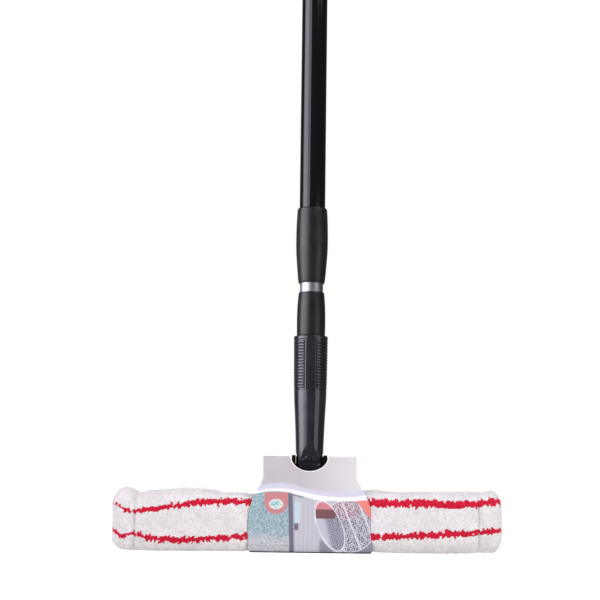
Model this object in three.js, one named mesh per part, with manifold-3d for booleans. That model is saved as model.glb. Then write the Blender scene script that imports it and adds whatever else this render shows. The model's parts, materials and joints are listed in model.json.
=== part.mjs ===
// A telescopic flat mop: a T-shaped head in a terry cover, a tilting neck, and a two-part pole with a twist lock.
// Millimetres, +Z up, front towards -Y. The origin is on the floor, under the middle of the head.

import * as THREE from "three";
import { mergeVertices } from "three/addons/utils/BufferGeometryUtils.js";
import Module from "manifold-3d";

const wasm = await Module();
wasm.setup();

// ---- Driving dimensions ----

const GAP = 0.35; // between pieces that touch on the real object
const ROUND = 32; // sides of a turned piece
const SMALL_ROUND = 20; // sides of a pin, screw or small hole

const COVER = { length: 353, height: 56, thickness: 38, edge: 12, corner: 4 };
const BAR = { length: 288, height: 38, thickness: 7, slots: 6, slotLength: 30, slotHeight: 16 };
const FOAM = { length: 268, height: 36, thickness: 5.5, notch: 18.5 };
const BUMPER = { length: 15, grip: 8, thickness: 15 };
const YOKE = { width: 33, depth: 17, earOut: 16.2, earIn: 12.7, earRadius: 10.6, floor: 67.5 };
const YOKE_SCREW = { apart: 22, height: 41.5, radius: 1.5, headRadius: 3, headHeight: 1.6 };
const PIN = { radius: 3, headRadius: 4.6, headHeight: 1.2, clearance: 0.25 };
const WASHER = { radius: 9.6, thickness: 0.7 };
const CARD = { thickness: 0.6, depth: 36, shoulderDepth: 31, height: 86.8, topHalf: 42.1, bottomHalf: 56.7, bottomEdge: 9 };
const NOTCH = { halfWidth: 16.9, depth: 13.4 };

const PIVOT = 77.8; // height of the tilt pin; the heights below, up to the end cap, are above the pin
const NECK = { foot: 12, knuckle: 8.2, slope: 14.1, tongue: 11.6, top: 120.3 };
const SOCKET = { radius: 12.2, foot: 75, coreRadius: 7.5, coreFoot: 33 };
const THREAD = { root: 10.9, crest: 11.8, pitch: 6 };
const GROOVE = { count: 17, highest: 115.5, pitch: 2.76, width: 1.5, depth: 0.8, stripHalf: 4.6 };
const INNER_TUBE = { radius: 10.8, wall: 0.9, foot: 121.7, length: 600 };
const OUTER_TUBE = { radius: 12.1, wall: 0.9, length: 600 };
const LOWER_GRIP = { foot: 120.6, length: 40.8 };
const UPPER_GRIP = { foot: 170.1, length: 71, lip: 3.4 };
const HAND_GRIP = { length: 120, radius: 15 };
const END_CAP = { height: 15, radius: 15.5, eyeHeight: 24, eyeWidth: 24, eyeThickness: 8, eyeHole: 5.5 };
const LOCK = { plugLength: 26, journal: 5.2, offset: 0.8, ring: 16, flange: 8 };

// ---- Materials ----

const finish = (color, roughness, metalness) => new THREE.MeshStandardMaterial({ color, roughness, metalness });
const GLOSS_BLACK = finish(0x0b0b0d, 0.12, 0.6);
const SATIN_BLACK = finish(0x2b292b, 0.55, 0);
const SLATE_PLASTIC = finish(0x35353d, 0.38, 0);
const JOINT_BLACK = finish(0x121113, 0.5, 0);
const BARE_METAL = finish(0xc9cacf, 0.3, 1);
const GREY_PLASTIC = finish(0x8b8d92, 0.6, 0);
const FOAM_GREY = finish(0xbfc2c4, 0.95, 0);
const TERRY = finish(0xeeebe9, 1, 0);
const PRINTED_CARD = finish(0xdcd7de, 0.5, 0);

// ---- From three.js geometry to a solid and back ----

function solid(geometry) {
  const position = (geometry.index ? geometry.toNonIndexed() : geometry).getAttribute("position");
  const merged = mergeVertices(new THREE.BufferGeometry().setAttribute("position", position), 1e-4);
  const corners = merged.index.array;
  const triVerts = [];
  for (let i = 0; i < corners.length; i += 3) {
    const [a, b, c] = corners.subarray(i, i + 3);
    if (a !== b && b !== c && c !== a) triVerts.push(a, b, c);
  }
  const vertProperties = merged.attributes.position.array;
  return new wasm.Manifold(new wasm.Mesh({ numProp: 3, vertProperties, triVerts: new Uint32Array(triVerts) }));
}

function geometryOf(manifold) {
  const { vertProperties, triVerts } = manifold.getMesh();
  const geometry = new THREE.BufferGeometry();
  geometry.setAttribute("position", new THREE.BufferAttribute(vertProperties, 3));
  geometry.setIndex(new THREE.BufferAttribute(triVerts, 1));
  const faceted = geometry.toNonIndexed();
  faceted.computeVertexNormals();
  return faceted;
}

function part(name, manifold, material) {
  const mesh = new THREE.Mesh(geometryOf(manifold), material);
  mesh.name = name;
  return mesh;
}

// ---- Shapes ----

const TO_X = new THREE.Matrix4().set(0, 0, 1, 0, 1, 0, 0, 0, 0, 1, 0, 0, 0, 0, 0, 1); // an outline in Y and Z, drawn out along X
const TO_Y = new THREE.Matrix4().makeRotationX(Math.PI / 2); // an outline in X and Z, drawn out along Y

function prism(shape, length, curveSegments = 8) {
  const geometry = new THREE.ExtrudeGeometry(shape, { depth: length, bevelEnabled: false, curveSegments });
  return geometry.translate(0, 0, -length / 2);
}
const prismX = (shape, length, segments) => solid(prism(shape, length, segments).applyMatrix4(TO_X));
const prismY = (shape, length, segments) => solid(prism(shape, length, segments).applyMatrix4(TO_Y));

function box(width, depth, height, x = 0, y = 0, z = 0) {
  return solid(new THREE.BoxGeometry(width, depth, height).translate(x, y, z));
}

function rodX(radius, length, x = 0, z = 0, sides = SMALL_ROUND) {
  return solid(new THREE.CylinderGeometry(radius, radius, length, sides).rotateZ(Math.PI / 2).translate(x, 0, z));
}

function rodY(radius, length, x = 0, y = 0, z = 0) {
  return solid(new THREE.CylinderGeometry(radius, radius, length, SMALL_ROUND).translate(x, y, z));
}

function rodZ(radius, foot, top, sides = ROUND) {
  return turned([[0, foot], [radius, foot], [radius, top], [0, top]], sides);
}

// A turned solid: [radius, height] pairs, up the outside. It starts and ends on the axis, or closes on itself.
function turned(profile, sides = ROUND) {
  const points = profile.map(([radius, height]) => new THREE.Vector2(radius, height));
  const onAxis = profile[0][0] === 0;
  if (!onAxis) points.push(points[0].clone());
  return solid(new THREE.LatheGeometry(points, sides).rotateX(Math.PI / 2));
}

function sleeve(outer, inner, foot, top, sides = ROUND) {
  return turned([[outer, foot], [outer, top], [inner, top], [inner, foot]], sides);
}

function roundedRectangle(width, height, radius, x = 0, y = 0) {
  const [w, h] = [width / 2, height / 2];
  const shape = new THREE.Shape();
  shape.moveTo(x - w + radius, y - h);
  shape.lineTo(x + w - radius, y - h);
  shape.absarc(x + w - radius, y - h + radius, radius, -Math.PI / 2, 0);
  shape.absarc(x + w - radius, y + h - radius, radius, 0, Math.PI / 2);
  shape.absarc(x - w + radius, y + h - radius, radius, Math.PI / 2, Math.PI);
  shape.absarc(x - w + radius, y - h + radius, radius, Math.PI, 1.5 * Math.PI);
  return shape;
}

// ---- The head: bar, foam, bumpers, cover ----

const BAR_MIDDLE = COVER.height / 2;

function screwHoles() {
  const { apart, height, radius } = YOKE_SCREW;
  return rodY(radius + GAP, 60, -apart / 2, 0, height).add(rodY(radius + GAP, 60, apart / 2, 0, height));
}

function headBar() {
  const plate = roundedRectangle(BAR.length, BAR.height, 6, 0, BAR_MIDDLE);
  const pitch = (BAR.length - 30) / BAR.slots;
  for (let i = 0; i < BAR.slots; i++) {
    const x = (i - (BAR.slots - 1) / 2) * pitch;
    plate.holes.push(roundedRectangle(BAR.slotLength, BAR.slotHeight, 4, x, BAR_MIDDLE - 3));
  }
  return prismY(plate, BAR.thickness, 3).subtract(screwHoles());
}

function foamPad(side) {
  const [w, h] = [FOAM.length / 2, FOAM.height / 2];
  const outline = new THREE.Shape();
  outline.moveTo(-w, BAR_MIDDLE - h);
  outline.lineTo(w, BAR_MIDDLE - h);
  outline.lineTo(w, BAR_MIDDLE + h);
  outline.lineTo(FOAM.notch, BAR_MIDDLE + h);
  outline.lineTo(FOAM.notch, BAR_MIDDLE + 2);
  outline.lineTo(-FOAM.notch, BAR_MIDDLE + 2);
  outline.lineTo(-FOAM.notch, BAR_MIDDLE + h);
  outline.lineTo(-w, BAR_MIDDLE + h);
  const away = BAR.thickness / 2 + GAP + FOAM.thickness / 2;
  return prismY(outline, FOAM.thickness).translate([0, side * away, 0]);
}

function bumper(side) {
  const reach = BAR.length / 2 + BUMPER.length - BUMPER.grip;
  const outline = roundedRectangle(BUMPER.length, BUMPER.thickness, 5, side * (reach - BUMPER.length / 2), 0);
  const block = solid(prism(outline, BAR.height + 4, 4).translate(0, 0, BAR_MIDDLE));
  const slot = box(BAR.length + 2 * GAP, BAR.thickness + 2 * GAP, BAR.height + 2 * GAP, 0, 0, BAR_MIDDLE);
  return block.subtract(slot);
}

function coverOutside() {
  const width = COVER.length - 2 * COVER.edge;
  const height = COVER.height - 2 * COVER.edge;
  const face = roundedRectangle(width, height, COVER.corner, 0, BAR_MIDDLE);
  const geometry = new THREE.ExtrudeGeometry(face, {
    depth: COVER.thickness - 2 * COVER.edge,
    bevelThickness: COVER.edge,
    bevelSize: COVER.edge,
    bevelSegments: 4,
    curveSegments: 3,
  });
  return solid(geometry.translate(0, 0, COVER.edge - COVER.thickness / 2).applyMatrix4(TO_Y));
}

function mopCover() {
  const length = BAR.length + 2 * (BUMPER.length - BUMPER.grip) + 2 * GAP;
  const depth = Math.max(BUMPER.thickness, BAR.thickness + 2 * (FOAM.thickness + GAP)) + 2 * GAP;
  const pocket = box(length, depth, BAR.height + 5, 0, 0, BAR_MIDDLE);
  const mouth = box(YOKE.width + 2, YOKE.depth + 2, COVER.height, 0, 0, COVER.height);
  const underCard = cardOutline(0.5).subtract(cardLoop(CARD.thickness + GAP));
  return coverOutside().subtract(underCard).subtract(pocket).subtract(mouth);
}

function openingHem() {
  const [foot, height] = [COVER.height + GAP, 2.4];
  const ring = roundedRectangle(YOKE.width + 8, YOKE.depth + 7.5, 7);
  ring.holes.push(roundedRectangle(YOKE.width + 2.6, YOKE.depth + 2.6, 1.2));
  return solid(prism(ring, height, 3).translate(0, 0, foot + height / 2));
}

// ---- The card sleeve ----

// The space inside the card, or, with inset 0, to its outer face: a loop round the head, seen from the end.
function cardLoop(inset) {
  const [half, shoulder, edge] = [CARD.depth / 2 - inset, CARD.shoulderDepth / 2 - inset, CARD.bottomEdge];
  const loop = new THREE.Shape();
  loop.moveTo(-half + edge, inset);
  loop.lineTo(half - edge, inset);
  loop.quadraticCurveTo(half, inset, half, edge + 4);
  loop.lineTo(half, COVER.height - 12);
  loop.quadraticCurveTo(half, COVER.height, (half + shoulder) / 2 + 0.4, COVER.height + 8);
  loop.lineTo(shoulder, CARD.height - inset);
  loop.lineTo(-shoulder, CARD.height - inset);
  loop.lineTo(-(half + shoulder) / 2 - 0.4, COVER.height + 8);
  loop.quadraticCurveTo(-half, COVER.height, -half, COVER.height - 12);
  loop.lineTo(-half, edge + 4);
  loop.quadraticCurveTo(-half, inset, -half + edge, inset);
  return prismX(loop, 3 * CARD.bottomHalf, 6);
}

// The card's cut edges seen from the front: upright at the top, then flaring to the full width.
function cardOutline(margin = 0) {
  const [top, bottom] = [CARD.topHalf + margin, CARD.bottomHalf + margin];
  const flare = [[top, 68], [top + 2.6, 62], [top + 7.3, 53.5], [bottom - 4.5, 47.5], [bottom - 1, 34], [bottom, 20], [bottom, -1]];
  const points = flare.map(([x, z]) => new THREE.Vector2(-x, z));
  const mirrored = points.map(({ x, y }) => new THREE.Vector2(-x, y)).reverse();
  const outline = new THREE.Shape();
  outline.moveTo(bottom, -1);
  outline.splineThru(mirrored.slice(1));
  outline.lineTo(top, CARD.height + 1);
  outline.lineTo(-top, CARD.height + 1);
  outline.lineTo(points[0].x, points[0].y);
  outline.splineThru(points.slice(1));
  return prismY(outline, 2 * CARD.depth, 6);
}

function cardSleeve() {
  const cut = new THREE.Shape();
  cut.moveTo(-NOTCH.halfWidth, CARD.height + 2);
  cut.lineTo(-NOTCH.halfWidth, CARD.height);
  cut.absellipse(0, CARD.height, NOTCH.halfWidth, NOTCH.depth, Math.PI, 2 * Math.PI);
  cut.lineTo(NOTCH.halfWidth, CARD.height + 2);
  const notch = prismY(cut, 2 * CARD.depth, 18);
  return cardLoop(0).subtract(cardLoop(CARD.thickness)).intersect(cardOutline()).subtract(notch);
}

// ---- The tilt joint ----

function yoke() {
  const saddle = box(YOKE.width, YOKE.depth, 33, 0, 0, 49.5);
  const column = new THREE.Shape();
  column.moveTo(-YOKE.depth / 2, 60);
  column.lineTo(YOKE.depth / 2, 60);
  column.lineTo(YOKE.earRadius, 68);
  column.lineTo(YOKE.earRadius, PIVOT);
  column.absarc(0, PIVOT, YOKE.earRadius, 0, Math.PI);
  column.lineTo(-YOKE.earRadius, 68);
  const ears = prismX(column, 2 * YOKE.earOut, 12);
  const between = box(2 * YOKE.earIn, 60, 60, 0, 0, YOKE.floor + 30);
  const straddle = box(80, BAR.thickness + 2 * GAP, 40, 0, 0, BAR_MIDDLE + BAR.height / 2 + GAP - 20);
  const bore = rodX(PIN.radius + PIN.clearance, 60, 0, PIVOT);
  let made = saddle.add(ears).subtract(between).subtract(straddle).subtract(bore);
  for (const side of [-1, 1]) made = made.subtract(rodY(YOKE_SCREW.headRadius + GAP, 4, ...headSeat(side)));
  return made.subtract(screwHoles());
}

function headSeat(side) {
  return [side * YOKE_SCREW.apart / 2, -YOKE.depth / 2, YOKE_SCREW.height];
}

function yokeScrew(side) {
  const { radius, headRadius, headHeight } = YOKE_SCREW;
  const [x, face, z] = headSeat(side);
  const head = rodY(headRadius, headHeight, x, face + headHeight / 2, z);
  const shank = rodY(radius, YOKE.depth - headHeight / 2, x, headHeight / 4, z);
  const slot = box(0.9, 1.2, 3 * headRadius, x, face, z);
  return head.add(shank).subtract(slot);
}

function pivotPin() {
  const end = YOKE.earOut + GAP;
  const shaft = rodX(PIN.radius, 2 * end + 1.6, 0.8);
  const groove = rodX(PIN.radius + 1, 0.9, end + 0.5).subtract(rodX(PIN.radius - 0.7, 2, end + 0.5));
  const head = rodX(PIN.headRadius, PIN.headHeight, -end - PIN.headHeight / 2);
  return shaft.add(head).subtract(groove);
}

function pinClip() {
  const ring = rodX(PIN.radius + 2, 0.5).subtract(rodX(PIN.radius - 0.4, 2)).subtract(box(3, 2.6, 8, 0, 0, 4));
  return ring.translate([YOKE.earOut + GAP + 0.5, 0, 0]);
}

function frictionWasher(side) {
  const middle = (NECK.tongue + YOKE.earIn) / 2;
  const disc = rodX(WASHER.radius, WASHER.thickness).subtract(rodX(PIN.radius + PIN.clearance, 4));
  return disc.translate([side * middle, 0, 0]);
}

// ---- The neck, in a frame with its origin on the tilt pin ----

// Outside of the neck from the knuckle up, smooth, without the grip grooves.
const NECK_SIDE = [
  [NECK.foot, -12],
  [NECK.foot, 8],
  [NECK.foot + 0.25, 14],
  [NECK.foot + 0.85, 26],
  [NECK.foot + 1.45, 37],
  [NECK.foot + 2.05, 48],
  [NECK.foot + 2.7, 59],
  [NECK.foot + 3.05, 68],
  [NECK.foot + 3.35, 80],
  [NECK.foot + 3.6, 100],
  [NECK.foot + 3.7, 113],
  [NECK.foot + 3.85, 116.8],
  [NECK.foot + 3.75, NECK.top - 1.6],
  [NECK.foot + 3.2, NECK.top - 0.5],
  [NECK.foot + 2.2, NECK.top],
];

function neckRadius(height) {
  const above = NECK_SIDE.findIndex(([, z]) => z >= height);
  const [[r0, z0], [r1, z1]] = [NECK_SIDE[above - 1], NECK_SIDE[above]];
  return r0 + ((r1 - r0) * (height - z0)) / (z1 - z0);
}

function grooved() {
  const lowest = GROOVE.highest - (GROOVE.count - 1) * GROOVE.pitch;
  const grooves = [];
  for (let i = 0; i < GROOVE.count; i++) {
    const z = lowest + i * GROOVE.pitch;
    grooves.push([neckRadius(z - GROOVE.width / 2), z - GROOVE.width / 2]);
    grooves.push([neckRadius(z) - GROOVE.depth, z]);
    grooves.push([neckRadius(z + GROOVE.width / 2), z + GROOVE.width / 2]);
  }
  const below = NECK_SIDE.filter(([, z]) => z < lowest - GROOVE.width);
  const above = NECK_SIDE.filter(([, z]) => z > GROOVE.highest + GROOVE.width / 2);
  return [...below, ...grooves, ...above];
}

function neckSocket() {
  const closed = (side) => turned([[0, -12], ...side, [0, NECK.top]], 24);
  const strip = box(2 * GROOVE.stripHalf, 60, 64, 0, 0, 96);
  const body = closed(grooved()).add(closed(NECK_SIDE).intersect(strip));

  // Seen from the side, the foot is cut away front and back, down to a round knuckle.
  const slope = THREE.MathUtils.degToRad(NECK.slope);
  const cutTop = (20 - NECK.knuckle / Math.cos(slope)) / Math.tan(slope);
  const foot = new THREE.Shape();
  foot.moveTo(20, cutTop);
  foot.lineTo(20, 140);
  foot.lineTo(-20, 140);
  foot.lineTo(-20, cutTop);
  foot.absarc(0, 0, NECK.knuckle, Math.PI + slope, 2 * Math.PI - slope);
  const profile = prismX(foot, 60, 14);

  let made = body.intersect(profile);
  for (const side of [-1, 1]) made = made.subtract(rodX(YOKE.earRadius + 1, 20, side * (NECK.tongue + 10), 0, 28));
  const socket = turned([[0, SOCKET.coreFoot], [SOCKET.coreRadius, SOCKET.coreFoot], [SOCKET.coreRadius, SOCKET.foot],
    [SOCKET.radius, SOCKET.foot], [SOCKET.radius, NECK.top + 1], [0, NECK.top + 1]]);
  return made.subtract(socket).subtract(rodX(PIN.radius + PIN.clearance, 60));
}

// ---- The lower half of the pole ----

function poleThread() {
  const { root, crest, pitch } = THREAD;
  const [low, high] = [SOCKET.foot + 4, NECK.top - 3];
  const threads = [];
  for (let z = low + 4; z < high - 3; z += pitch) {
    threads.push([root, z - 1.8], [crest, z], [root, z + 1.8]);
  }
  const inside = INNER_TUBE.radius - INNER_TUBE.wall - GAP;
  return turned([[0, low], [root - 1, low], [root, low + 1], ...threads, [root, high], [crest, high],
    [crest, INNER_TUBE.foot - GAP], [inside, INNER_TUBE.foot - GAP], [inside, INNER_TUBE.foot + 28], [0, INNER_TUBE.foot + 28]], 20);
}

function innerTube() {
  const { radius, wall, foot, length } = INNER_TUBE;
  return sleeve(radius, radius - wall, foot, foot + length);
}

function lowerGrip() {
  const [z, inner, seat] = [LOWER_GRIP.foot, INNER_TUBE.radius + GAP, THREAD.crest + GAP];
  const top = z + LOWER_GRIP.length;
  return turned([[13.1, z], [13.3, z + 10], [13.2, z + 21], [12.95, z + 29], [12.5, z + 35], [12.1, top - 2], [11.6, top],
    [inner, top], [inner, INNER_TUBE.foot], [seat, INNER_TUBE.foot], [seat, z]]);
}

// ---- The twist lock, at the top of the inner tube ----

const LOCK_FOOT = INNER_TUBE.foot + INNER_TUBE.length;

function lockPlug() {
  const inside = INNER_TUBE.radius - INNER_TUBE.wall - GAP;
  return turned([[3.3, LOCK_FOOT - LOCK.plugLength], [inside, LOCK_FOOT - LOCK.plugLength], [inside, LOCK_FOOT + GAP],
    [10.8, LOCK_FOOT + GAP], [10.8, LOCK_FOOT + 3], [3.3, LOCK_FOOT + 3]], 24);
}

function camSpindle() {
  const low = LOCK_FOOT + 3 + GAP;
  const high = low + LOCK.ring + 2 * GAP;
  const stem = rodZ(3, LOCK_FOOT - 20, low + 1, SMALL_ROUND);
  const journal = rodZ(LOCK.journal, low, high + 1, 24).translate([LOCK.offset, 0, 0]);
  return stem.add(journal).add(rodZ(LOCK.flange, high, high + 3, 24));
}

function brakeRing() {
  const low = LOCK_FOOT + 3 + 2 * GAP;
  const reach = OUTER_TUBE.radius - OUTER_TUBE.wall - GAP;
  const ring = sleeve(reach, LOCK.journal + LOCK.offset + 0.5, low, low + LOCK.ring, 24);
  const split = box(12, 2.4, LOCK.ring + 2, -12, 0, low + LOCK.ring / 2);
  return ring.subtract(split);
}

// ---- The upper half of the pole ----

const OUTER_FOOT = UPPER_GRIP.foot + UPPER_GRIP.lip + 4 + 2 * GAP;
const OUTER_TOP = OUTER_FOOT + OUTER_TUBE.length;

function outerTube() {
  return sleeve(OUTER_TUBE.radius, OUTER_TUBE.radius - OUTER_TUBE.wall, OUTER_FOOT, OUTER_TOP);
}

function guideRing() {
  const foot = UPPER_GRIP.foot + UPPER_GRIP.lip + GAP;
  return sleeve(OUTER_TUBE.radius, INNER_TUBE.radius + GAP, foot, foot + 4 - GAP);
}

function upperGrip() {
  const [z, bore] = [UPPER_GRIP.foot, OUTER_TUBE.radius + GAP];
  const top = z + UPPER_GRIP.length;
  const lip = z + UPPER_GRIP.lip;
  const guide = INNER_TUBE.radius + GAP;
  return turned([[12, z], [12.4, z + 0.8], [13.1, z + 7.5], [14.1, z + 19], [14.7, z + 28], [14.95, z + 38], [14.85, z + 47],
    [14.6, z + 57], [14.1, z + 66], [13.7, top - 1.4], [13, top], [bore, top], [bore, lip], [guide, lip], [guide, z]]);
}

function handGrip() {
  const [r, bore, top] = [HAND_GRIP.radius, OUTER_TUBE.radius + GAP, OUTER_TOP - GAP];
  const z = top - HAND_GRIP.length;
  return turned([[bore + 0.6, z], [r - 1.2, z + 2], [r - 0.2, z + 7], [r, z + 20], [r - 0.7, z + 45], [r - 0.7, z + 75],
    [r, z + 100], [r, top - 3], [r - 0.8, top], [bore, top], [bore, z + 0.4]]);
}

function endCap() {
  const [r, foot] = [END_CAP.radius, OUTER_TOP + GAP];
  const plug = OUTER_TUBE.radius - OUTER_TUBE.wall - GAP;
  const cap = turned([[0, foot - 22], [plug - 0.6, foot - 22], [plug, foot - 20], [plug, foot], [r - 0.8, foot], [r, foot + 1],
    [r, foot + 5], [r - 1.6, foot + 9.5], [r - 5, foot + 13], [r - 9, foot + END_CAP.height], [0, foot + END_CAP.height]]);
  const [w, middle] = [END_CAP.eyeWidth / 2, foot + END_CAP.height + END_CAP.eyeHeight - END_CAP.eyeWidth / 2];
  const eye = new THREE.Shape();
  eye.moveTo(-w, foot + 3);
  eye.lineTo(w, foot + 3);
  eye.lineTo(w, middle);
  eye.absarc(0, middle, w, 0, Math.PI);
  return cap.add(prismY(eye, END_CAP.eyeThickness, 8)).subtract(rodY(END_CAP.eyeHole, 30, 0, 0, middle));
}

// ---- The assembly ----

const mop = new THREE.Group();

const head = new THREE.Group();
head.add(
  part("head_bar", headBar(), GREY_PLASTIC),
  part("bar_bumper_left", bumper(-1), SATIN_BLACK),
  part("bar_bumper_right", bumper(1), SATIN_BLACK),
  part("foam_pad_front", foamPad(-1), FOAM_GREY),
  part("foam_pad_back", foamPad(1), FOAM_GREY),
  part("mop_cover", mopCover(), TERRY),
  part("opening_hem", openingHem(), TERRY),
  part("card_sleeve", cardSleeve(), PRINTED_CARD),
  part("swivel_yoke", yoke(), JOINT_BLACK),
  part("yoke_screw_left", yokeScrew(-1), BARE_METAL),
  part("yoke_screw_right", yokeScrew(1), BARE_METAL),
);

const onPin = new THREE.Group();
onPin.position.z = PIVOT;
onPin.add(
  part("pivot_pin", pivotPin(), BARE_METAL),
  part("pin_clip", pinClip(), BARE_METAL),
  part("friction_washer_left", frictionWasher(-1), JOINT_BLACK),
  part("friction_washer_right", frictionWasher(1), JOINT_BLACK),
);
head.add(onPin);

const handle = new THREE.Group();
handle.position.z = PIVOT;
handle.add(
  part("neck_socket", neckSocket(), SLATE_PLASTIC),
  part("pole_thread", poleThread(), JOINT_BLACK),
  part("inner_tube", innerTube(), BARE_METAL),
  part("lower_grip", lowerGrip(), SATIN_BLACK),
  part("lock_plug", lockPlug(), GREY_PLASTIC),
  part("cam_spindle", camSpindle(), GREY_PLASTIC),
  part("brake_ring", brakeRing(), JOINT_BLACK),
  part("outer_tube", outerTube(), GLOSS_BLACK),
  part("guide_ring", guideRing(), JOINT_BLACK),
  part("upper_grip", upperGrip(), SATIN_BLACK),
  part("hand_grip", handGrip(), SATIN_BLACK),
  part("end_cap", endCap(), SATIN_BLACK),
);

mop.add(head, handle);

export default mop;
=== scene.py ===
"""The looks of a telescopic flat mop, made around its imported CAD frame.

Its head is in terry and card, and a tilting neck joins it to a two-part pole.
"""

import json
import math

import bmesh
import bpy
import numpy as np
from mathutils import Matrix, Vector


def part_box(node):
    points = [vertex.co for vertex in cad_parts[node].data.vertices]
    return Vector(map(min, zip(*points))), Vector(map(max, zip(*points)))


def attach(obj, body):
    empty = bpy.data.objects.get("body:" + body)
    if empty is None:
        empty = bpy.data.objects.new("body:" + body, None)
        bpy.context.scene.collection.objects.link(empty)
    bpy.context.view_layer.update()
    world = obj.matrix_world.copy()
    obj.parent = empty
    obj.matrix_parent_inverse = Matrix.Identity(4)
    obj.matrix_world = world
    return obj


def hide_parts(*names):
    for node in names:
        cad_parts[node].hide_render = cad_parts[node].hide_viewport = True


MM = 0.001

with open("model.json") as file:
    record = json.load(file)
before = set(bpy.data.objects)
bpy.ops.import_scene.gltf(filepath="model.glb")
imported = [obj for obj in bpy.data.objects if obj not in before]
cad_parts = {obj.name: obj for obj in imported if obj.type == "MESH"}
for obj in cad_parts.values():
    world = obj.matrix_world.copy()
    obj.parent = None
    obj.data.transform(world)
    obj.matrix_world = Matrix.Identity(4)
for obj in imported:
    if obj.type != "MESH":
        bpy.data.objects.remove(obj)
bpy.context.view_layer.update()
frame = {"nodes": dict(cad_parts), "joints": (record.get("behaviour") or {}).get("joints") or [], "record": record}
BODY_OF = {node: body for body, nodes in frame["record"]["behaviour"]["bodies"].items() for node in nodes}
SLOT_OF = {row["node"]: row["material_slot"] for row in frame["record"]["subparts"]}
PIVOT = next(j["pos_m"][2] for j in frame["joints"] if j["name"] == "head_tilt") / MM
CARD = {"thickness": 0.45, "half": 18.0, "shoulder": 15.5, "top": 86.8, "notch": 16.9, "notch_depth": 13.4}


# ---- Node trees ----


class Tree:
    """A node tree, with short names for the nodes used here."""

    def __init__(self, tree):
        self.tree = tree

    def node(self, kind, **settings):
        made = self.tree.nodes.new(kind)
        for key, value in settings.items():
            setattr(made, key, value)
        return made

    def feed(self, socket, value):
        """Links an output to the socket, or sets the socket's own value."""
        if isinstance(value, bpy.types.NodeSocket):
            self.tree.links.new(value, socket)
        elif socket.type == "RGBA":
            socket.default_value = (*value, 1)
        else:
            socket.default_value = value

    def made(self, node, *inputs):
        """The first output of a node, after its first inputs are fed."""
        for socket, value in zip(node.inputs, inputs):
            self.feed(socket, value)
        return node.outputs[0]

    def math(self, operation, *inputs):
        return self.made(self.node("ShaderNodeMath", operation=operation), *inputs)

    def vector(self, operation, *inputs):
        return self.made(self.node("ShaderNodeVectorMath", operation=operation), *inputs)

    def join(self, x, y, z):
        return self.made(self.node("ShaderNodeCombineXYZ"), x, y, z)

    def axes(self, vector):
        split = self.node("ShaderNodeSeparateXYZ")
        self.feed(split.inputs[0], vector)
        return split.outputs

    def ramp(self, value, low, high, to_low=0.0, to_high=1.0, smooth=False):
        """Goes from to_low at `low` to to_high at `high`, and stays there."""
        kind = "SMOOTHSTEP" if smooth else "LINEAR"
        node = self.node("ShaderNodeMapRange", interpolation_type=kind, clamp=True)
        return self.made(node, value, low, high, to_low, to_high)

    def mix(self, share, first, second):
        blend = self.node("ShaderNodeMix", data_type="RGBA")
        self.feed(blend.inputs[0], share)
        self.feed(blend.inputs[6], first)
        self.feed(blend.inputs[7], second)
        return blend.outputs[2]


class Shader(Tree):
    """A material's node tree. Coordinates are in millimetres."""

    def __init__(self, name):
        self.material = bpy.data.materials.new(name)
        self.material.use_nodes = True
        super().__init__(self.material.node_tree)
        self.principled = self.tree.nodes["Principled BSDF"]
        coordinates = self.node("ShaderNodeTexCoord")
        self.place = self.vector("MULTIPLY", coordinates.outputs["Object"], (1 / MM,) * 3)

    def noise(self, size, detail=3, roughness=0.55, stretch=(1, 1, 1)):
        """Noise with features about `size` millimetres across."""
        texture = self.node("ShaderNodeTexNoise")
        place = self.vector("DIVIDE", self.place, tuple(size * s for s in stretch))
        self.feed(texture.inputs["Vector"], place)
        texture.inputs["Scale"].default_value = 1
        texture.inputs["Detail"].default_value = detail
        texture.inputs["Roughness"].default_value = roughness
        return texture.outputs["Fac"]

    def cells(self, size, place=None, randomness=1):
        """The distance from the middles of cells about `size` millimetres across."""
        texture = self.node("ShaderNodeTexVoronoi")
        self.feed(texture.inputs["Vector"], self.vector("DIVIDE", place or self.place, (size,) * 3))
        texture.inputs["Scale"].default_value = 1
        texture.inputs["Randomness"].default_value = randomness
        return texture.outputs["Distance"]

    def wave(self, value, period):
        """A sine from -1 to 1."""
        return self.math("SINE", self.math("MULTIPLY", value, 2 * math.pi / period))

    def curve(self, value, points, low, high):
        """A smooth curve through (value, result) points. Results lie from low to high."""
        first, last = points[0][0], points[-1][0]
        made = self.node("ShaderNodeFloatCurve")
        self.feed(made.inputs["Value"], self.ramp(value, first, last))
        line = made.mapping.curves[0]
        for i, (x, y) in enumerate(points):
            place = ((x - first) / (last - first), (y - low) / (high - low))
            if i in (0, len(points) - 1):
                line.points[0 if i == 0 else len(line.points) - 1].location = place
            else:
                line.points.new(*place)
        made.mapping.update()
        return self.math("MULTIPLY_ADD", made.outputs[0], high - low, low)

    def attribute(self, name):
        return self.node("ShaderNodeAttribute", attribute_name=name).outputs["Fac"]

    def bump(self, height, distance):
        """Relief of `distance` millimetres for heights from 0 to 1."""
        relief = self.node("ShaderNodeBump")
        relief.inputs["Distance"].default_value = distance * MM
        self.feed(relief.inputs["Height"], height)
        self.feed(self.principled.inputs["Normal"], relief.outputs[0])

    def surface(self, color, roughness, **others):
        self.feed(self.principled.inputs["Base Color"], color)
        self.feed(self.principled.inputs["Roughness"], roughness)
        for name, value in others.items():
            self.feed(self.principled.inputs[name.replace("_", " ")], value)
        return self.material


# ---- Materials ----


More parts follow.
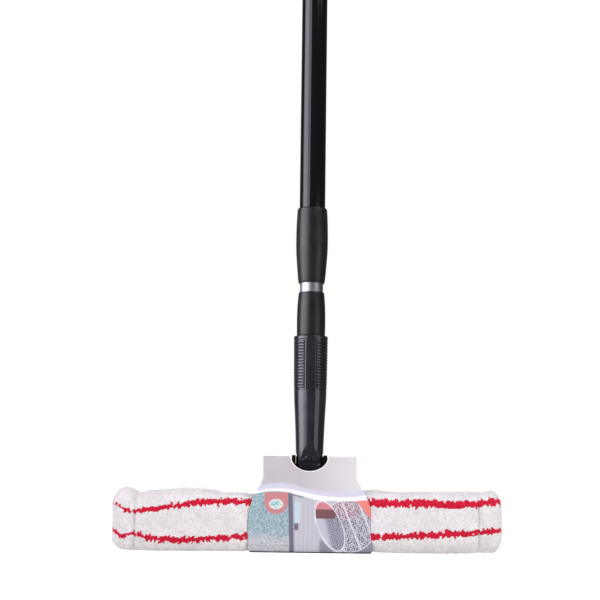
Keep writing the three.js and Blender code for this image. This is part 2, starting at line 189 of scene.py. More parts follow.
def gloss_lacquer():
    """Black lacquer on drawn tube: a mirror-like coat with faint ripple and dust."""
    s = Shader("gloss_lacquer")
    ripple = s.noise(9, detail=2, stretch=(1, 1, 6))
    dust = s.noise(0.9, detail=4, roughness=0.7)
    color = s.mix(s.ramp(dust, 0.55, 0.8), (0.006, 0.0053, 0.0058), (0.010, 0.009, 0.010))
    s.bump(ripple, 0.012)
    return s.surface(color, s.ramp(dust, 0.35, 0.75, 0.07, 0.12), IOR=1.5)


def soft_touch(name, color, low, high):
    """Moulded rubbery plastic: fine grain, and cloudy wear in the sheen."""
    s = Shader(name)
    cloud = s.noise(17, detail=4)
    worn = s.mix(s.ramp(cloud, 0.3, 0.75), color, tuple(c * 1.45 for c in color))
    s.bump(s.noise(0.5, detail=2), 0.03)
    return s.surface(worn, s.ramp(cloud, 0.3, 0.7, low, high), IOR=1.48)


def moulded_slate():
    """Semi-gloss slate-grey plastic with faint flow marks."""
    s = Shader("moulded_slate")
    flow = s.noise(6, detail=3, stretch=(1, 1, 5))
    color = s.mix(s.ramp(flow, 0.3, 0.7), (0.017, 0.017, 0.022), (0.026, 0.026, 0.033))
    s.bump(s.noise(0.6, detail=2), 0.018)
    return s.surface(color, s.ramp(flow, 0.3, 0.7, 0.15, 0.21), IOR=1.62)


def drawn_steel(name, tint, low, high):
    """Bright drawn tube: fine lines along its length."""
    s = Shader(name)
    lines = s.noise(0.35, detail=3, stretch=(1, 1, 60))
    smear = s.noise(14, detail=3)
    color = s.mix(s.ramp(smear, 0.3, 0.7), tint, tuple(c * 0.86 for c in tint))
    s.bump(lines, 0.008)
    return s.surface(color, s.ramp(lines, 0.3, 0.7, low, high), Metallic=1.0)


def plain_plastic(name, color, roughness=0.5, IOR=1.48):
    s = Shader(name)
    flow = s.noise(12, detail=3)
    s.bump(s.noise(0.7, detail=3), 0.03)
    shade = s.mix(s.ramp(flow, 0.3, 0.7), color, tuple(c * 1.3 for c in color))
    return s.surface(shade, s.ramp(flow, 0.3, 0.7, roughness - 0.05, roughness + 0.07), IOR=IOR)


def open_foam():
    s = Shader("open_foam")
    pores = s.cells(0.9)
    s.bump(s.ramp(pores, 0.1, 0.6), 0.5)
    return s.surface(s.mix(s.ramp(pores, 0.1, 0.5), (0.3, 0.31, 0.32), (0.62, 0.63, 0.64)), 0.95)


def terry():
    """White looped pile with red bands.

    The mesh carries which loops are red, and how high each point stands in its loop. Low points get painted shade.
    """
    s = Shader("terry")
    red, height = s.attribute("red"), s.attribute("height")
    fuzz = s.noise(0.8, detail=4, roughness=0.75)
    patch = s.noise(14, detail=3)
    white = s.mix(s.ramp(patch, 0.35, 0.65), (0.74, 0.71, 0.715), (0.845, 0.815, 0.815))
    # Painted shade: the white turns darker where a point stands low between loops.
    white = s.mix(s.ramp(height, 0.15, 0.75), (0.56, 0.53, 0.535), white)
    white = s.mix(s.ramp(fuzz, 0.25, 0.52, 1, 0), white, (0.655, 0.628, 0.632))
    dye_and_shade = s.mix(s.ramp(fuzz, 0.3, 0.7), (0.51, 0.004, 0.026), (0.70, 0.013, 0.048))
    # Painted shade in the red as well: darker where a point stands low between loops.
    dye_and_shade = s.mix(s.ramp(height, 0.1, 0.7), (0.30, 0.002, 0.012), dye_and_shade)
    edge = s.ramp(s.math("MULTIPLY_ADD", s.math("SUBTRACT", fuzz, 0.5), 0.5, red), 0.42, 0.58)
    s.bump(fuzz, 0.6)
    return s.surface(s.mix(edge, white, dye_and_shade), 1.0, IOR=1.2, Sheen_Weight=0.08, Sheen_Roughness=0.6)


def hem_tape():
    """Woven tape with slanting ribs."""
    s = Shader("hem_tape")
    x, y, _ = s.axes(s.place)
    ribs = s.wave(s.math("ADD", x, y), 0.9)
    s.bump(ribs, 0.12)
    return s.surface(s.mix(s.ramp(ribs, -1, 1), (0.66, 0.65, 0.65), (0.8, 0.79, 0.79)), 0.85)


def card_core():
    """The card's cut edge."""
    s = Shader("card_core")
    fibre = s.noise(0.5, detail=4)
    s.bump(fibre, 0.04)
    return s.surface(s.mix(s.ramp(fibre, 0.3, 0.7), (0.8, 0.79, 0.78), (0.9, 0.89, 0.88)), 0.85)


# ---- The card's print ----

WHITE_INK = (0.84, 0.82, 0.83)
LILAC_INK = (0.60, 0.595, 0.70)
POST_INK = (0.155, 0.15, 0.2)
SHADE_INK = (0.2, 0.19, 0.26)
EDGE_INK = (0.78, 0.77, 0.83)
# How far the post and the panel beside it lean, for each millimetre up, and where they meet.
POST_LEAN = 0.035
POST_LEFT = -17.2
# (x, z) of the upper edges of the lilac band, the white band and the picture.
LILAC_EDGE = [
    (-60, 58), (-45, 60.6), (-28, 62.6), (-16.7, 61.7), (-2.4, 58), (10.4, 55.6), (24.7, 55), (43, 57.6),
    (60, 60.6),
]
WHITE_EDGE = [
    (-60, 52), (-48, 55.3), (-35, 57.7), (-21, 57.7), (-6.7, 55.3), (7.6, 52.4), (21.9, 51), (36, 51),
    (60, 54),
]
PICTURE_EDGE = [
    (-60, 50), (-50, 52.1), (-42, 53.9), (-35, 54.9), (-21, 54.3), (-6.7, 51), (7.6, 47.3), (22, 46.7),
    (36, 46.7), (60, 48.6),
]


class CardPrint(Shader):
    """The card's tree, with flat shapes of ink placed in millimetres across and above the floor."""

    def __init__(self, name):
        super().__init__(name)
        self.x, self.y, self.z = self.axes(self.place)

    def both(self, first, second):
        return self.math("MULTIPLY", first, second)

    def fall(self, value, low, high):
        """One up to `low`, nothing from `high`."""
        return self.ramp(value, low, high, 1, 0)

    def inside(self, value, low, high):
        soft = 0.12
        return self.both(self.ramp(value, low - soft, low + soft), self.fall(value, high - soft, high + soft))

    def under(self, edge, low, high):
        """One below a curved edge: soft from `low` to `high` under it."""
        highest = 80
        below = self.math("SUBTRACT", self.curve(self.x, edge, 0, highest), self.z)
        return self.ramp(below, low, high)

    def leaning(self, lean):
        """x plus `lean` times z, which is even along leaning lines."""
        return self.math("MULTIPLY_ADD", self.z, lean, self.x)

    def sloping(self, slope):
        """z plus `slope` times x, which is even along sloping lines."""
        return self.math("MULTIPLY_ADD", self.x, slope, self.z)

    def rectangle(self, x_low, x_high, z_low, z_high):
        return self.both(self.inside(self.x, x_low, x_high), self.inside(self.z, z_low, z_high))

    def from_ellipse(self, x_middle, z_middle, x_radius, z_radius, turn=0.0):
        """The distance from an ellipse's middle, which is 1 on the ellipse."""
        across = self.math("SUBTRACT", self.x, x_middle)
        up = self.math("SUBTRACT", self.z, z_middle)
        cosine, sine = math.cos(turn), math.sin(turn)
        a = self.math("ADD", self.math("MULTIPLY", across, cosine), self.math("MULTIPLY", up, sine))
        b = self.math("SUBTRACT", self.math("MULTIPLY", up, cosine), self.math("MULTIPLY", across, sine))
        a, b = self.math("DIVIDE", a, x_radius), self.math("DIVIDE", b, z_radius)
        return self.math("SQRT", self.math("ADD", self.both(a, a), self.both(b, b)))

    def ellipse(self, *shape):
        return self.fall(self.from_ellipse(*shape), 0.97, 1.03)


def sweep(s):
    """The plain upper part, painted lighter towards the right where light falls from, then a lilac band over a
    white one.
    """
    cloud = s.ramp(s.noise(30, detail=2), 0.3, 0.7)
    # Painted light: the left and right shades make the plain part lighter towards the right, where the light comes
    # from.
    left = s.mix(cloud, (0.485, 0.46, 0.475), (0.515, 0.49, 0.505))
    right = s.mix(cloud, (0.67, 0.64, 0.66), (0.705, 0.675, 0.695))
    color = s.mix(s.ramp(s.x, -8, 48), left, right)
    color = s.mix(s.under(LILAC_EDGE, -0.6, 1.2), color, LILAC_INK)
    return s.mix(s.under(WHITE_EDGE, -0.3, 1.0), color, WHITE_INK)


def blind(s, groove, slat):
    """The upright slats of a pale blind, the picture's ground."""
    return s.mix(s.ramp(s.wave(s.x, 4.0), -1, 1), groove, slat)


def speckled_panel(s, ground):
    """A turquoise panel, which pales towards its foot."""
    speck = s.noise(1.7, detail=4, roughness=0.75)
    leafy = s.ramp(s.math("MULTIPLY_ADD", s.x, -0.006, s.noise(9, detail=2)), 0.55, 0.8)
    light = s.mix(leafy, (0.47, 0.54, 0.61), (0.45, 0.585, 0.58))
    panel = s.mix(s.ramp(speck, 0.36, 0.62), (0.165, 0.28, 0.35), light)
    panel = s.mix(s.ramp(s.noise(0.9, detail=2), 0.6, 0.68), panel, (0.09, 0.17, 0.24))
    uneven = s.math("MULTIPLY", s.math("SUBTRACT", s.noise(6), 0.5), 1.6)
    pale = s.ramp(s.math("ADD", s.ramp(s.z, 26, 10), uneven), 0.35, 0.9)
    panel = s.mix(pale, panel, s.mix(s.ramp(speck, 0.35, 0.6), (0.34, 0.335, 0.365), (0.585, 0.575, 0.61)))
    return s.mix(s.inside(s.leaning(POST_LEAN), -80, POST_LEFT), ground, panel)


def tab(s, ground):
    """A coral tab, square above and rounded below, with a pale oval."""
    outline = s.math("MAXIMUM", s.rectangle(-40.3, -19, 42.5, 54), s.ellipse(-29.7, 42.5, 9.6, 8))
    ground = s.mix(outline, ground, (0.56, 0.225, 0.24))
    ground = s.mix(s.ellipse(-29.7, 43.4, 6.6, 4.6), ground, (0.66, 0.68, 0.63))
    dots = s.both(s.ellipse(-29.7, 43.4, 5.0, 3.1), s.ramp(s.noise(1.7, detail=1), 0.5, 0.54))
    return s.mix(dots, ground, (0.2, 0.5, 0.58))


def post(s, ground):
    """A glazed panel, and beside it a post with a latch and a lit edge."""
    ground = s.mix(s.rectangle(-13, -8, 27, 46), ground, (0.50, 0.62, 0.68))
    across = s.leaning(POST_LEAN)
    ground = s.mix(s.inside(across, POST_LEFT, -13.2), ground, POST_INK)
    ground = s.mix(s.rectangle(-14, -9.6, 20.6, 26.4), ground, POST_INK)
    return s.mix(s.inside(across, -13.4, -12.4), ground, (0.33, 0.33, 0.41))


def drum(s, ground):
    """A punched drum seen at a slant: its side, its open mouth with a red load, and its rims."""
    barrel, front_end = s.from_ellipse(36, 24.5, 24, 23, -0.5), s.from_ellipse(19, 24.5, 11.5, 25.5, 0.42)
    side = s.math("MINIMUM", barrel, front_end)
    mouth = s.from_ellipse(19, 24.5, 10.6, 24.3, 0.42)
    place = s.join(s.leaning(0.35), 0.0, s.sloping(-0.3))

    load = s.fall(s.from_ellipse(33, 40, 13, 10, -0.4), 0.7, 1.15)
    in_holes = s.mix(load, (0.12, 0.115, 0.16), (0.36, 0.035, 0.07))
    holes = s.fall(s.cells(1.9, place, 0.45), 0.36, 0.49)
    skin = s.mix(s.math("MULTIPLY", holes, 0.95), (0.49, 0.48, 0.55), in_holes)
    seams = s.ramp(s.wave(s.leaning(0.42), 15), 0.9, 0.98)
    skin = s.mix(s.math("MULTIPLY", seams, 0.8), skin, (0.72, 0.71, 0.78))
    ground = s.mix(s.fall(side, 0.985, 1.01), ground, skin)

    lattice = s.ramp(s.cells(1.5, place, 0.3), 0.3, 0.42)
    inner = s.mix(lattice, (0.085, 0.085, 0.125), (0.36, 0.36, 0.44))
    inner = s.mix(s.ramp(s.leaning(0.25), 24, 20), inner, (0.50, 0.49, 0.57))
    heap = s.both(s.ramp(s.z, 30.6, 31.2), s.ramp(s.leaning(-0.35), 12.6, 12.0))
    inner = s.mix(heap, inner, s.mix(s.ramp(s.z, 38.9, 39.5), (0.19, 0.08, 0.095), (0.60, 0.22, 0.25)))
    ground = s.mix(s.fall(mouth, 0.985, 1.01), ground, inner)

    side_rim = s.both(s.ramp(side, 0.965, 0.98), s.fall(side, 0.99, 1.01))
    mouth_rim = s.both(s.ramp(mouth, 0.93, 0.95), s.fall(mouth, 0.99, 1.02))
    rims = s.math("MAXIMUM", side_rim, mouth_rim)
    ground = s.mix(s.math("MULTIPLY", rims, 0.85), ground, EDGE_INK)
    shadow = s.both(s.ramp(side, 1.0, 1.02), s.both(s.ramp(s.x, 8, 11), s.ramp(s.z, 14, 10)))
    ground = s.mix(s.math("MULTIPLY", shadow, 0.8), ground, SHADE_INK)
    bar = s.both(s.inside(s.sloping(0.22), 48, 49), s.inside(s.x, -19.5, -5))
    return s.mix(bar, ground, SHADE_INK)


def corner(s, ground):
    """The coral corner on the right."""
    outline = s.both(s.ramp(s.leaning(0.8), 79.7, 80.3), s.ramp(s.z, 31, 31.6))
    return s.mix(outline, ground, (0.76, 0.23, 0.2))


def printed_card():
    """Coated card with a sweep over a picture in blocks of colour. The back has the blind alone."""
    s = CardPrint("printed_card")
    picture = blind(s, (0.475, 0.465, 0.52), (0.53, 0.52, 0.572))
    for draw in (speckled_panel, tab, post, drum, corner):
        picture = draw(s, picture)
    back = blind(s, (0.66, 0.65, 0.73), (0.69, 0.68, 0.76))
    picture = s.mix(s.fall(s.y, -1, 1), back, picture)
    color = s.mix(s.under(PICTURE_EDGE, -0.15, 0.15), sweep(s), picture)
    # Painted shadow: the card's lowest 1.5 mm and its underside are near black, standing in for the contact shadow
    # along its foot.
    color = s.mix(s.ramp(s.z, 1.5, 1.0), color, (0.02, 0.02, 0.022))
    notch = s.from_ellipse(0, CARD["top"], CARD["notch"], CARD["notch_depth"])
    margin = s.both(s.ramp(notch, 1.05, 1.03), s.ramp(s.z, 87, 86))
    color = s.mix(margin, color, (0.97, 0.96, 0.96))

    scuff = s.noise(11, detail=4, roughness=0.65)
    s.bump(s.noise(7, detail=2), 0.05)
    sheen = s.ramp(scuff, 0.3, 0.7, 0.34, 0.46)
    return s.surface(color, sheen, IOR=1.46, Coat_Weight=0.15, Coat_Roughness=0.25)


MATERIALS = {
    "gloss_black": gloss_lacquer(),
    "bright_steel": drawn_steel("drawn_steel", (0.56, 0.55, 0.58), 0.42, 0.5),
    "plated_steel": drawn_steel("plated_steel", (0.62, 0.62, 0.63), 0.25, 0.4),
    "satin_black": soft_touch("soft_touch", (0.0125, 0.0105, 0.0115), 0.3, 0.38),
    "slate_plastic": moulded_slate(),
    "joint_black": plain_plastic("joint_black", (0.004, 0.0037, 0.004), 0.6, IOR=1.25),
    "grey_plastic": plain_plastic("grey_plastic", (0.26, 0.26, 0.28)),
    "foam": open_foam(),
    "terry": terry(),
    "printed_card": printed_card(),
}
HEM_TAPE = hem_tape()
CARD_CORE = card_core()


# ---- Meshes ----


def new_piece(name, vertices, faces, node):
    """A mesh in metres from millimetre vertices, riding with a CAD node's body and standing for that node."""
    mesh = bpy.data.meshes.new(name)
    mesh.from_pydata((np.asarray(vertices, float) * MM).tolist(), [], [list(map(int, f)) for f in faces])
    piece = bpy.data.objects.new(name, mesh)
    bpy.context.scene.collection.objects.link(piece)
    return dress(piece, node)


def dress(piece, node, material=None):
    piece.data.materials.clear()
    piece.data.materials.append(material or MATERIALS[SLOT_OF[node]])
    piece.data.shade_smooth()
    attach(piece, BODY_OF[node])
    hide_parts(node)
    return piece


def shade(piece, sharp_angle):
    """Smooth shading with the edges over an angle, in degrees, kept sharp."""
    piece.data.shade_smooth()
    piece.data.set_sharp_from_angle(angle=math.radians(sharp_angle))
    return piece


def apply_modifiers(piece):
    depsgraph = bpy.context.evaluated_depsgraph_get()
    made = bpy.data.meshes.new_from_object(piece.evaluated_get(depsgraph))
    piece.modifiers.clear()
    piece.data = made


def ring_faces(rows, columns):
    """Quads between rows of a closed ring of columns."""
    i, j = np.meshgrid(np.arange(rows - 1), np.arange(columns), indexing="ij")
    k = (j + 1) % columns
    quads = np.stack([i * columns + j, i * columns + k, (i + 1) * columns + k, (i + 1) * columns + j], -1)
    return quads.reshape(-1, 4).tolist()


def tidy(piece, distance):
    """Merges points closer than `distance` millimetres and turns the faces outward."""
    bm = bmesh.new()
    bm.from_mesh(piece.data)
    bmesh.ops.remove_doubles(bm, verts=bm.verts, dist=distance * MM)
    bmesh.ops.dissolve_degenerate(bm, edges=bm.edges, dist=1e-7)
    bmesh.ops.recalc_face_normals(bm, faces=bm.faces)
    bm.to_mesh(piece.data)
    bm.free()


def share(value, span):
    """value / span, kept from 0 to 1."""
    return np.clip(value / span, 0, 1)


def hill(value, width):
    """A smooth hill, 1 at nothing and near 0 from twice the width."""
    return np.exp(-((value / width) ** 2))


def lookup(value, table):
    """The second column, and any after it, of a table at `value` of its first."""
    first, *others = np.array(table).T
    found = [np.interp(value, first, column) for column in others]
    return found if len(found) > 1 else found[0]


def quarter(value):
    """The height of a quarter circle over a share of its radius."""
    return np.sqrt(np.clip(1 - (1 - value) ** 2, 0, 1))


SMOOTH = 1e3


def eased(profile, steps=6):
    """A closed outline of (radius, height, fillet) with each corner rounded.

    SMOOTH, as a fillet, runs into the neighbours' curves.
    """
    points = []
    for i, (r, z, fillet) in enumerate(profile):
        point = np.array([r, z], float)
        if not fillet:
            points.append(point)
            continue
        ends = []
        for neighbour in (profile[i - 1], profile[(i + 1) % len(profile)]):
            side = np.array(neighbour[:2], float) - point
            length = np.linalg.norm(side)
            ends.append(point + side / length * min(fillet, length / 2))
        for t in np.linspace(0, 1, steps + 1):
            points.append((1 - t) ** 2 * ends[0] + 2 * t * (1 - t) * point + t**2 * ends[1])
    return np.array(points)


def lathe(name, node, profile, sides=96):
    """A turned piece from a closed outline that stays off the axis."""
    outline = eased(profile)
    outline = np.vstack([outline, outline[:1]])
    turn = np.linspace(0, 2 * math.pi, sides, endpoint=False)
    r, z = outline[:, :1], outline[:, 1:]
    vertices = np.stack([r * np.cos(turn), r * np.sin(turn), z + 0 * turn], -1).reshape(-1, 3)
    piece = new_piece(name, vertices, ring_faces(len(outline), sides), node)
    tidy(piece, 0.004)
    return shade(piece, 50)


def chamfered(node, width, segments=2, material=None):
    """The CAD node's own shape with its sharp edges rounded off."""
    mesh = frame["nodes"][node].data.copy()
    piece = bpy.data.objects.new(node + "_eased", mesh)
    bpy.context.scene.collection.objects.link(piece)
    bm = bmesh.new()
    bm.from_mesh(mesh)
    bmesh.ops.remove_doubles(bm, verts=bm.verts, dist=1e-6)
    bmesh.ops.dissolve_limit(bm, angle_limit=math.radians(1), verts=bm.verts, edges=bm.edges)
    bm.to_mesh(mesh)
    bm.free()
    bevel = piece.modifiers.new("bevel", "BEVEL")
    bevel.width = width * MM
    bevel.segments = segments
    bevel.limit_method = "ANGLE"
    bevel.angle_limit = math.radians(38)
    apply_modifiers(piece)
    return shade(dress(piece, node, material), 40)


def heights(node):
    low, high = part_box(node)
    return low.z / MM, high.z / MM


def radius(node):
    low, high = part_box(node)
    return (high.x - low.x) / 2 / MM


# ---- The pole ----

# (radius, height above the sleeve's foot) of the two sleeves' outer sides.
LOWER_SIDE = [(13.3, 8), (13.32, 15), (13.2, 22), (12.95, 29), (12.4, 36)]
UPPER_SIDE = [
    (12.75, 4), (13.35, 11), (14.1, 20), (14.75, 29), (14.98, 38), (14.88, 48), (14.7, 57), (14.3, 65),
]
TUBE_WALL = 0.9
# Play between a sleeve and its tube.
INNER_PLAY, OUTER_PLAY = 0.35, 0.3


def tube(node):
    (z, top), r = heights(node), radius(node)
    bore = r - TUBE_WALL
    lathe(node + "_drawn", node, [(r, z, 0.3), (r, top, 0.3), (bore, top, 0.3), (bore, z, 0.3)], 128)


def lower_grip():
    z, top = heights("lower_grip")
    bore = radius("inner_tube") + INNER_PLAY
    side = [(r, z + up, SMOOTH) for r, up in LOWER_SIDE]
    profile = [(13.1, z, 0.5), *side, (11.95, top, 1.6), (bore, top, 0.2), (bore, z, 0.3)]
    lathe("lower_grip_moulded", "lower_grip", profile)


def upper_grip():
    """The sleeve's foot is stepped in round the guide ring."""
    z, top = heights("upper_grip")
    bore, guide, step = radius("outer_tube") + OUTER_PLAY, radius("inner_tube") + INNER_PLAY, z + 3.4
    side = [(r, z + up, SMOOTH) for r, up in UPPER_SIDE]
    profile = [(12.1, z, 0.6), *side, (13.9, top, 2.2), (bore, top, 0.2), (bore, step, 0.2)]
    profile += [(guide, step, 0.2), (guide, z, 0.3)]
    lathe("upper_grip_moulded", "upper_grip", profile)


def hand_grip():
    z, top = heights("hand_grip")
    bore, r = radius("outer_tube") + OUTER_PLAY, radius("hand_grip")
    profile = [(bore + 0.7, z, 0.4)]
    profile += [(r - 1.1, z + 2.2, SMOOTH), (r - 0.1, z + 8, SMOOTH), (r, z + 20, SMOOTH)]
    grooves, pitch, first = 9, 8, z + 26
    for foot in (first + i * pitch for i in range(grooves)):
        profile += [(r - 0.5, foot, 0.6), (r - 1.2, foot + 1, 0.6)]
        profile += [(r - 1.2, foot + 1.8, 0.6), (r - 0.5, foot + 2.8, 0.6)]
    profile += [(r, z + 102, SMOOTH), (r, top - 3, SMOOTH), (r - 0.7, top, 0.6)]
    profile += [(bore, top, 0.2), (bore, z + 0.4, 0.2)]
    lathe("hand_grip_moulded", "hand_grip", profile)


def pole():
    tube("inner_tube")
    tube("outer_tube")
    lower_grip()
    upper_grip()
    hand_grip()
    chamfered("end_cap", 1.0, 3)
    for node in ("guide_ring", "lock_plug", "cam_spindle", "brake_ring", "pole_thread"):
        chamfered(node, 0.25)


# ---- The neck ----

NECK = {"tongue": 11.95, "knuckle": 8.2, "shoulder": 11.5, "strip": 4.95, "rim": 15.85}
GROOVES = {"count": 17, "pitch": 2.76, "highest": 115.5, "depth": 0.55}
LOWEST_GROOVE = GROOVES["highest"] - (GROOVES["count"] - 1) * GROOVES["pitch"]
# (height above the pin, radius), and (height, how far forward the scooped foot reaches).
NECK_SIDE = [
    (8, 12.3), (14, 12.65), (26, 13.1), (37, 13.55), (48, 14.05), (59, 14.7), (68, 15.05), (80, 15.35),
    (100, 15.6), (113, 15.7), (116.4, 15.85),
]
SCOOP = [(2.2, 7.9), (5, 9.2), (8.4, 10.45), (12, 11.35), (15, 12.05), (20, 13.4), (40, 25)]
GABLE = {"foot": 4.8, "peak": 9.9, "height": 0.35, "slope": 1.2, "half_top": 1.8}
TINY = 1e-9


def neck_outline(z, cosine, sine):
    """A circle, with flat sides beside the ears and scooped front and back towards the foot."""
    knuckle = NECK["knuckle"]
    across, through = np.abs(cosine) + TINY, np.abs(sine) + TINY
    circle = lookup(z, NECK_SIDE)
    width = NECK["tongue"] if z < NECK["shoulder"] else 40
    scoop = lookup(z, SCOOP) if z > SCOOP[0][0] else math.sqrt(max(knuckle**2 - z**2, 1e-3))
    # The knuckle carries a plain rib between two grooves.
    scoop -= 0.9 * hill(z - 4.1, 0.5) + 0.7 * hill(z + 0.2, 0.45)
    bend = 0.012 * share(z, 2.5) * across**2 + TINY
    front = (-through + np.sqrt(through**2 + 4 * bend * scoop)) / (2 * bend)
    # A high power joins the three limits with a nearly sharp corner.
    power = 90
    reach = (front**-power + (across / width) ** power + circle**-power) ** (-1 / power)
    return reach * cosine, reach * sine


def gabled(x, y, z):
    """A raised gable in the middle of the scoop."""
    soft, above_foot, below_peak = 0.5, z - GABLE["foot"], GABLE["peak"] - z
    half_width = GABLE["half_top"] + below_peak * GABLE["slope"]
    raised = share(half_width - np.abs(x), soft) * share(below_peak, soft) * share(above_foot, soft)
    return y + np.sign(y) * GABLE["height"] * raised * (np.abs(y) > 5)


def ribbed(x, y, z):
    """Grip ribs between grooves.

    They start at a raised lip beside the plain strip in the middle, and fade towards the outline.
    """
    highest, pitch = GROOVES["highest"], GROOVES["pitch"]
    phase = (z - LOWEST_GROOVE) / pitch + 0.5
    off = abs(phase - round(phase)) * pitch
    rib = math.exp(-((off / 1.06) ** 8)) if LOWEST_GROOVE < z < highest else 0.0
    from_strip = np.abs(x) - NECK["strip"]
    ends = share(from_strip - 0.45 - 0.35 * (off / 0.8) ** 2, 0.4)
    edge = share(from_strip + 0.2, 0.9) * share(min(z - LOWEST_GROOVE, highest - z) + 1.5, 0.4)
    lip = 0.3 * hill(from_strip + 0.6, 0.55)
    raised = 0.25 * rib * ends * edge - GROOVES["depth"] * edge * (1 - rib * ends)
    raised *= 1 - 0.6 * share(np.abs(x) - 12.4, 2.6)
    swell = 1 + (lip + raised) / np.hypot(x, y)
    return x * swell, y * swell


def neck():
    """Rows of points from the knuckle up and over the rim, then down inside."""
    top = heights("neck_socket")[1] - PIVOT
    shoulder, margin = NECK["shoulder"], 1.6
    rows = np.concatenate([
        -NECK["knuckle"] * np.cos(np.linspace(0.04, 1.05, 16)),
        np.linspace(-4, shoulder - 0.15, 64),
        np.linspace(shoulder + 0.15, 18, 24),
        np.linspace(18.6, LOWEST_GROOVE - 3, 50),
        np.arange(LOWEST_GROOVE - 2.6, GROOVES["highest"] + 2.6, GROOVES["pitch"] / 14),
    ])
    turn = np.linspace(0, 2 * math.pi, 192, endpoint=False)
    cosine, sine = np.cos(turn), np.sin(turn)
    vertices = []
    for z in rows:
        x, y = neck_outline(z, cosine, sine)
        if GABLE["foot"] < z < 11:
            y = gabled(x, y, z)
        if LOWEST_GROOVE - margin < z < GROOVES["highest"] + margin:
            x, y = ribbed(x, y, z)
        vertices.append(np.stack([x, y, z + PIVOT + 0 * x], -1))

    rim, mouth, mouth_foot, bore, bore_foot = NECK["rim"], 12.2, 75, 7.5, 33
    inner_side = [
        (rim - 0.02, top - 3, 0), (rim, top, 1.3), (mouth, top, 0.5), (mouth, mouth_foot, 0.3),
        (bore, mouth_foot, 0.3), (bore, bore_foot, 0.3), (0.02, bore_foot, 0),
    ]
    for r, z in eased(inner_side, 5):
        vertices.append(np.stack([r * cosine, r * sine, z + PIVOT + 0 * cosine], -1))
    grid = np.array(vertices)
    rows, columns = grid.shape[:2]
    faces = ring_faces(rows, columns)
    faces += [list(range(columns))[::-1], list(range((rows - 1) * columns, rows * columns))]
    piece = new_piece("neck_moulded", grid.reshape(-1, 3), faces, "neck_socket")
    tidy(piece, 0.005)
    return shade(piece, 48)


# ---- The terry cover ----

COVER = {"left": -178.4, "right": 175.2, "thickness": 18.6, "corner": 13.0, "reach": 9.0, "rounding": 8.0}
LOOP_SIZE = 1.6
PILE = 0.95
# x of the sewn creases near the ends, and of the card's side edges.
CREASES = (-157.2, 153.0)
CARD_EDGE = 57.5
# (x, z) of the cover's upper and lower edges.
TOP_LINE = [
    (-178.6, 51.2), (-174.8, 55.3), (-168, 57.9), (-161.6, 56.8), (-153.5, 53.1), (-146, 54.6),
    (-135.6, 55.7), (-111.8, 56.8), (-92.7, 56.2), (-77.1, 53.4), (-62.5, 53.7), (-30, 52.2), (20, 52.7),
    (45, 56.1), (51.6, 57.6), (58, 58.2), (68.9, 56.8), (83.5, 55.9), (110.9, 56.7), (135, 56.9),
    (150, 56.6), (157, 56.3), (164, 57.5), (170.2, 57.1), (173.1, 54.9), (176, 50.9),
]
FOOT_LINE = [
    (-180, 4), (-170.4, 1.1), (-164.8, 0.3), (-158.4, 0.3), (-152, 0.3), (-58, 0.3), (-52, 0.8), (52, 2),
    (58, 1.1), (145, 1.2), (152, 2), (168, 2), (173, 4.5), (176, 7.1),
]
# (x, z of the middle, width) of the red bands.
UPPER_BAND = [
    (-180, 43.8, 2.9), (-176, 41.9, 3.1), (-168.8, 37.3, 4.1), (-161.6, 35.4, 4.3), (-143.6, 36.8, 5.3),
    (-130, 39.3, 5.5), (-116.6, 40.7, 5.5), (-101.3, 43, 5.5), (-80.6, 44.5, 6), (-51.8, 44.5, 6.7),
    (54.5, 45.3, 8.1), (81.5, 44.7, 8.1), (104, 44.7, 8.1), (131, 44.1, 7.8), (153.5, 45.5, 7.6),
    (169.7, 48.1, 6.8), (175, 49.1, 6.2),
]
LOWER_BAND = [
    (-180, 19.4, 3.6), (-176, 17.8, 3.8), (-168.8, 13.3, 4.6), (-158, 15.7, 4.3), (-148, 12.7, 4.8),
    (-137.3, 10.9, 5.5), (-116.6, 10.1, 6), (-101, 10.6, 6), (-80.6, 12.3, 5.8), (-56, 14.4, 5.5),
    (59, 14.9, 6), (81.5, 16.1, 6.2), (104, 16.9, 6.2), (118, 18, 6.2), (144.5, 18.8, 6.5), (153.5, 20.2, 6),
    (168.8, 21.4, 5.7), (175, 22, 5.2),
]


def smooth_noise(rng, points, size):
    """Smooth noise from -1 to 1 with features about `size` millimetres across: a sum of seeded waves."""
    total = np.zeros(len(points))
    waves = 14
    for _ in range(waves):
        direction = rng.normal(size=3)
        direction *= rng.uniform(0.6, 1.5) * 2 * math.pi / (size * np.linalg.norm(direction) * 1.6)
        total += np.sin(points @ direction + rng.uniform(0, 2 * math.pi))
    return total / math.sqrt(waves / 2) / 1.6


def softened(line):
    blur = np.hanning(9) / np.hanning(9).sum()
    return np.convolve(np.pad(line, 4, mode="edge"), blur, mode="valid")


def rounded_rectangle():
    """A rounded rectangle walked from the front's foot up and over: rows of (side, level, draw-in, rise).

    Side and level go from -1 to 1 over the flat stretches. Draw-in and rise go from 0 to 1 round a corner.
    """
    corner = np.linspace(0, math.pi / 2, 24, endpoint=False)
    half = [(-1, t, 0, 0) for t in np.linspace(-1, 1, 36, endpoint=False)]
    half += [(-1, 1, 1 - math.cos(a), math.sin(a)) for a in corner]
    half += [(t, 1, 1, 1) for t in np.linspace(-1, 1, 14, endpoint=False)]
    half += [(1, 1, 1 - math.sin(a), math.cos(a)) for a in corner]
    half = np.array(half)
    return np.vstack([half, half * (-1, -1, 1, 1)])


def cover_rows():
    """x of the cover's rows, closer together where its ends turn."""
    left, right, reach = COVER["left"], COVER["right"], COVER["reach"]
    turned = reach - reach * np.sin(np.linspace(0, math.pi / 2, 15))
    between = np.linspace(left + reach, right - reach, 392)[1:-1]
    return np.concatenate([left + turned[::-1], between, right - turned])


